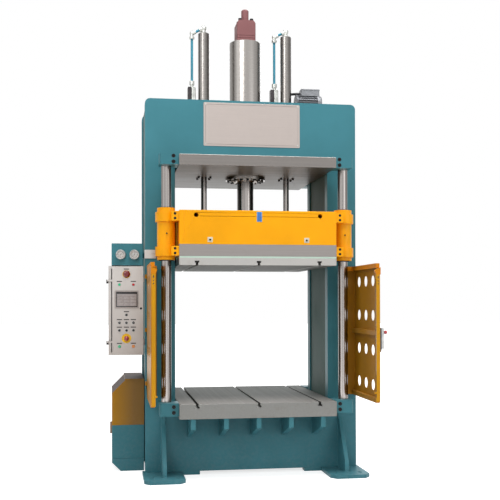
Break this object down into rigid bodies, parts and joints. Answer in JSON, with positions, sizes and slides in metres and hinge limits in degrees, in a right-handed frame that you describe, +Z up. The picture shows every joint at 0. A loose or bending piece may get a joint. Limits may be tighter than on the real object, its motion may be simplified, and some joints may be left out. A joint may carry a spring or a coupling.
{
  "type": "hydraulic press",
  "caption": "Four-column hydraulic press in a two-plate portal frame, with a guided slide, slotted table and platen, side guards and a control cabinet.",
  "frame": {"origin": "on the floor, at the centre of the four outer anchor holes", "axes": "+X to the right as the operator faces the machine, -Y towards the operator, +Z up"},
  "size_m": [2.539, 2.224, 4.709],
  "materials": {
    "bezel_metal": "satin ring",
    "black_screw": "black oxide",
    "bronze": "machined bronze",
    "button_black": "moulded cap",
    "button_green": "moulded cap",
    "button_red": "moulded cap",
    "chromed_bar": "ground and hard chromed",
    "dark_conduit": "corrugated",
    "frame_teal": "semi-gloss machine enamel",
    "gauge_face": "white dial in a dark case",
    "ground_steel": "surface ground, lightly oiled",
    "guard_yellow": "semi-gloss safety enamel",
    "insulation": "pressed board",
    "lamp_lens": "translucent lens",
    "motor_aluminium": "die cast",
    "needle_black": "matt",
    "screen_panel": "moulded bezel",
    "slide_yellow": "semi-gloss safety enamel",
    "stainless": "brushed sheet",
    "turned_steel": "turned",
    "valve_red": "satin enamel, dusty",
    "wall_grey": "matt primer grey",
    "zinc_fitting": "machined"
  },
  "bodies": {
    "press_frame": {"bed_box": "wall_grey", "circulation_motor": "motor_aluminium", "column_clamps": "frame_teal", "control_cabinet": "stainless", "crown_box": "wall_grey", "crown_plate": "ground_steel", "foot_plates": "frame_teal", "frame_bolts": "black_screw", "front_portal": "frame_teal", "gauge_box": "frame_teal", "gland_ring": "turned_steel", "guide_columns": "chromed_bar", "hinge_posts": "frame_teal", "hose_fittings": "zinc_fitting", "limit_rail": "stainless", "main_cylinder": "turned_steel", "motor_conduit": "dark_conduit", "nameplate": "stainless", "oil_tank": "frame_teal", "prefill_valve": "valve_red", "pressure_gauges": "gauge_face", "rear_portal": "frame_teal", "side_cylinders": "turned_steel", "table": "ground_steel", "table_ribs": "frame_teal", "tank_cover": "guard_yellow", "transfer_pipes": "frame_teal", "upright_walls": "wall_grey"},
    "slide": {"bolster_plate": "ground_steel", "guide_bushes": "bronze", "guide_housings": "slide_yellow", "insulation_board": "insulation", "platen": "ground_steel", "ram": "chromed_bar", "side_rods": "chromed_bar", "slide_beam": "slide_yellow", "slide_bolts": "black_screw"},
    "left_guard_leaf": {"left_guard": "guard_yellow", "left_light_bar": "guard_yellow"},
    "right_guard_leaf": {"guard_latch": "black_screw", "right_guard": "guard_yellow", "right_light_bar": "guard_yellow"},
    "lock_knob": {"latch_knob": "button_red"},
    "door": {"button_rings": "bezel_metal", "cabinet_door": "stainless", "operator_screen": "screen_panel", "pilot_lamps": "lamp_lens"},
    "upper_estop": {"estop_upper": "button_red"},
    "lower_estop": {"estop_lower": "button_red"},
    "start": {"start_button": "button_green"},
    "stop": {"stop_button": "button_red"},
    "reset": {"reset_button": "button_black"},
    "jog_left": {"jog_button_left": "button_black"},
    "jog_middle": {"jog_button_middle": "button_black"},
    "jog_right": {"jog_button_right": "button_black"},
    "switch_left": {"selector_left": "button_black"},
    "switch_middle": {"selector_middle": "button_black"},
    "switch_right": {"selector_right": "button_black"},
    "left_needle": {"left_gauge_needle": "needle_black"},
    "right_needle": {"right_gauge_needle": "needle_black"}
  },
  "joints": [
    {"name": "slide_travel", "type": "slide", "parent": "press_frame", "child": "slide", "axis": [0, 0, 1], "range_m": [-0.75, 0.25]},
    {"name": "left_guard_hinge", "type": "hinge", "parent": "press_frame", "child": "left_guard_leaf", "pos_m": [-1.045, -0.466, 1.395], "axis": [0, 0, 1], "range_deg": [-60, 0]},
    {"name": "right_guard_hinge", "type": "hinge", "parent": "press_frame", "child": "right_guard_leaf", "pos_m": [1.045, -0.466, 1.395], "axis": [0, 0, 1], "range_deg": [0, 90]},
    {"name": "lock_knob_pull", "type": "slide", "parent": "right_guard_leaf", "child": "lock_knob", "axis": [1, 0, 0], "range_m": [0, 0.018], "stiffness_N_per_m": 400, "springref_m": -0.004},
    {"name": "cabinet_door_hinge", "type": "hinge", "parent": "press_frame", "child": "door", "pos_m": [-1.412, -0.4375, 1.6], "axis": [0, 0, -1], "range_deg": [0, 100]},
    {"name": "upper_estop_push", "type": "slide", "parent": "door", "child": "upper_estop", "axis": [0, 1, 0], "range_m": [0, 0.006], "stiffness_N_per_m": 1500, "springref_m": -0.002},
    {"name": "lower_estop_push", "type": "slide", "parent": "door", "child": "lower_estop", "axis": [0, 1, 0], "range_m": [0, 0.006], "stiffness_N_per_m": 1500, "springref_m": -0.002},
    {"name": "start_push", "type": "slide", "parent": "door", "child": "start", "axis": [0, 1, 0], "range_m": [0, 0.004], "stiffness_N_per_m": 800, "springref_m": -0.001},
    {"name": "stop_push", "type": "slide", "parent": "door", "child": "stop", "axis": [0, 1, 0], "range_m": [0, 0.004], "stiffness_N_per_m": 800, "springref_m": -0.001},
    {"name": "reset_push", "type": "slide", "parent": "door", "child": "reset", "axis": [0, 1, 0], "range_m": [0, 0.004], "stiffness_N_per_m": 800, "springref_m": -0.001},
    {"name": "jog_left_push", "type": "slide", "parent": "door", "child": "jog_left", "axis": [0, 1, 0], "range_m": [0, 0.004], "stiffness_N_per_m": 800, "springref_m": -0.001},
    {"name": "jog_middle_push", "type": "slide", "parent": "door", "child": "jog_middle", "axis": [0, 1, 0], "range_m": [0, 0.004], "stiffness_N_per_m": 800, "springref_m": -0.001},
    {"name": "jog_right_push", "type": "slide", "parent": "door", "child": "jog_right", "axis": [0, 1, 0], "range_m": [0, 0.004], "stiffness_N_per_m": 800, "springref_m": -0.001},
    {"name": "selector_left_turn", "type": "hinge", "parent": "door", "child": "switch_left", "pos_m": [-1.296, -0.45, 1.482], "axis": [0, 1, 0], "range_deg": [-45, 45]},
    {"name": "selector_middle_turn", "type": "hinge", "parent": "door", "child": "switch_middle", "pos_m": [-1.229, -0.45, 1.482], "axis": [0, 1, 0], "range_deg": [-45, 45]},
    {"name": "selector_right_turn", "type": "hinge", "parent": "door", "child": "switch_right", "pos_m": [-1.163, -0.45, 1.482], "axis": [0, 1, 0], "range_deg": [-45, 45]},
    {"name": "left_needle_turn", "type": "hinge", "parent": "press_frame", "child": "left_needle", "pos_m": [-1.284, -0.45, 2.139], "axis": [0, 1, 0], "range_deg": [0, 270], "stiffness_Nm_per_rad": 0.001, "springref_deg": -17.19},
    {"name": "right_needle_turn", "type": "hinge", "parent": "press_frame", "child": "right_needle", "pos_m": [-1.154, -0.45, 2.139], "axis": [0, 1, 0], "range_deg": [0, 270], "stiffness_Nm_per_rad": 0.001, "springref_deg": -17.19}
  ]
}
